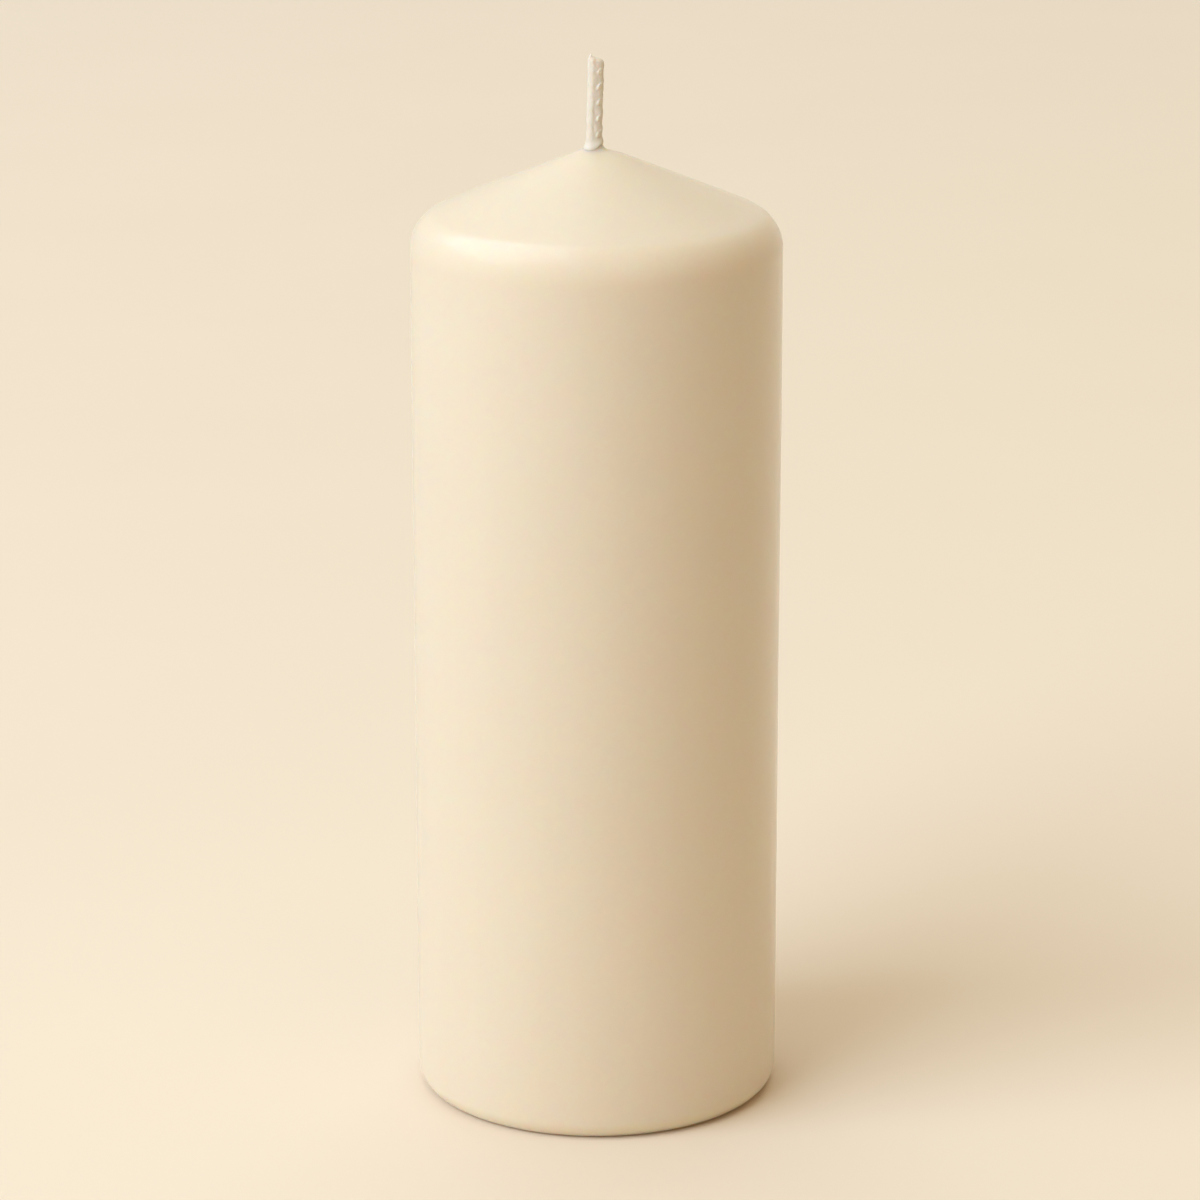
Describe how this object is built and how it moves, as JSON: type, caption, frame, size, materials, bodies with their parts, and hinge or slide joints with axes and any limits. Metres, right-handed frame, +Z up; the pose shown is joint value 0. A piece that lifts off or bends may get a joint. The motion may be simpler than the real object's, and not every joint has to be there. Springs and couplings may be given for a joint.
{
  "type": "pillar candle",
  "caption": "Straight-sided pillar candle of ivory wax with rounded edges, a low conical top and a short braided cotton wick.",
  "frame": {"origin": "centre of the base plane that the candle stands on", "axes": "+Z up along the candle's axis, the pictured side faces -Y, and the wick leans a little towards +X"},
  "size_m": [0.068, 0.068, 0.1979],
  "materials": {
    "wax": "satin",
    "wick": "waxed"
  },
  "bodies": {
    "root": {"wax_body": "wax", "wick": "wick"}
  },
  "joints": []
}
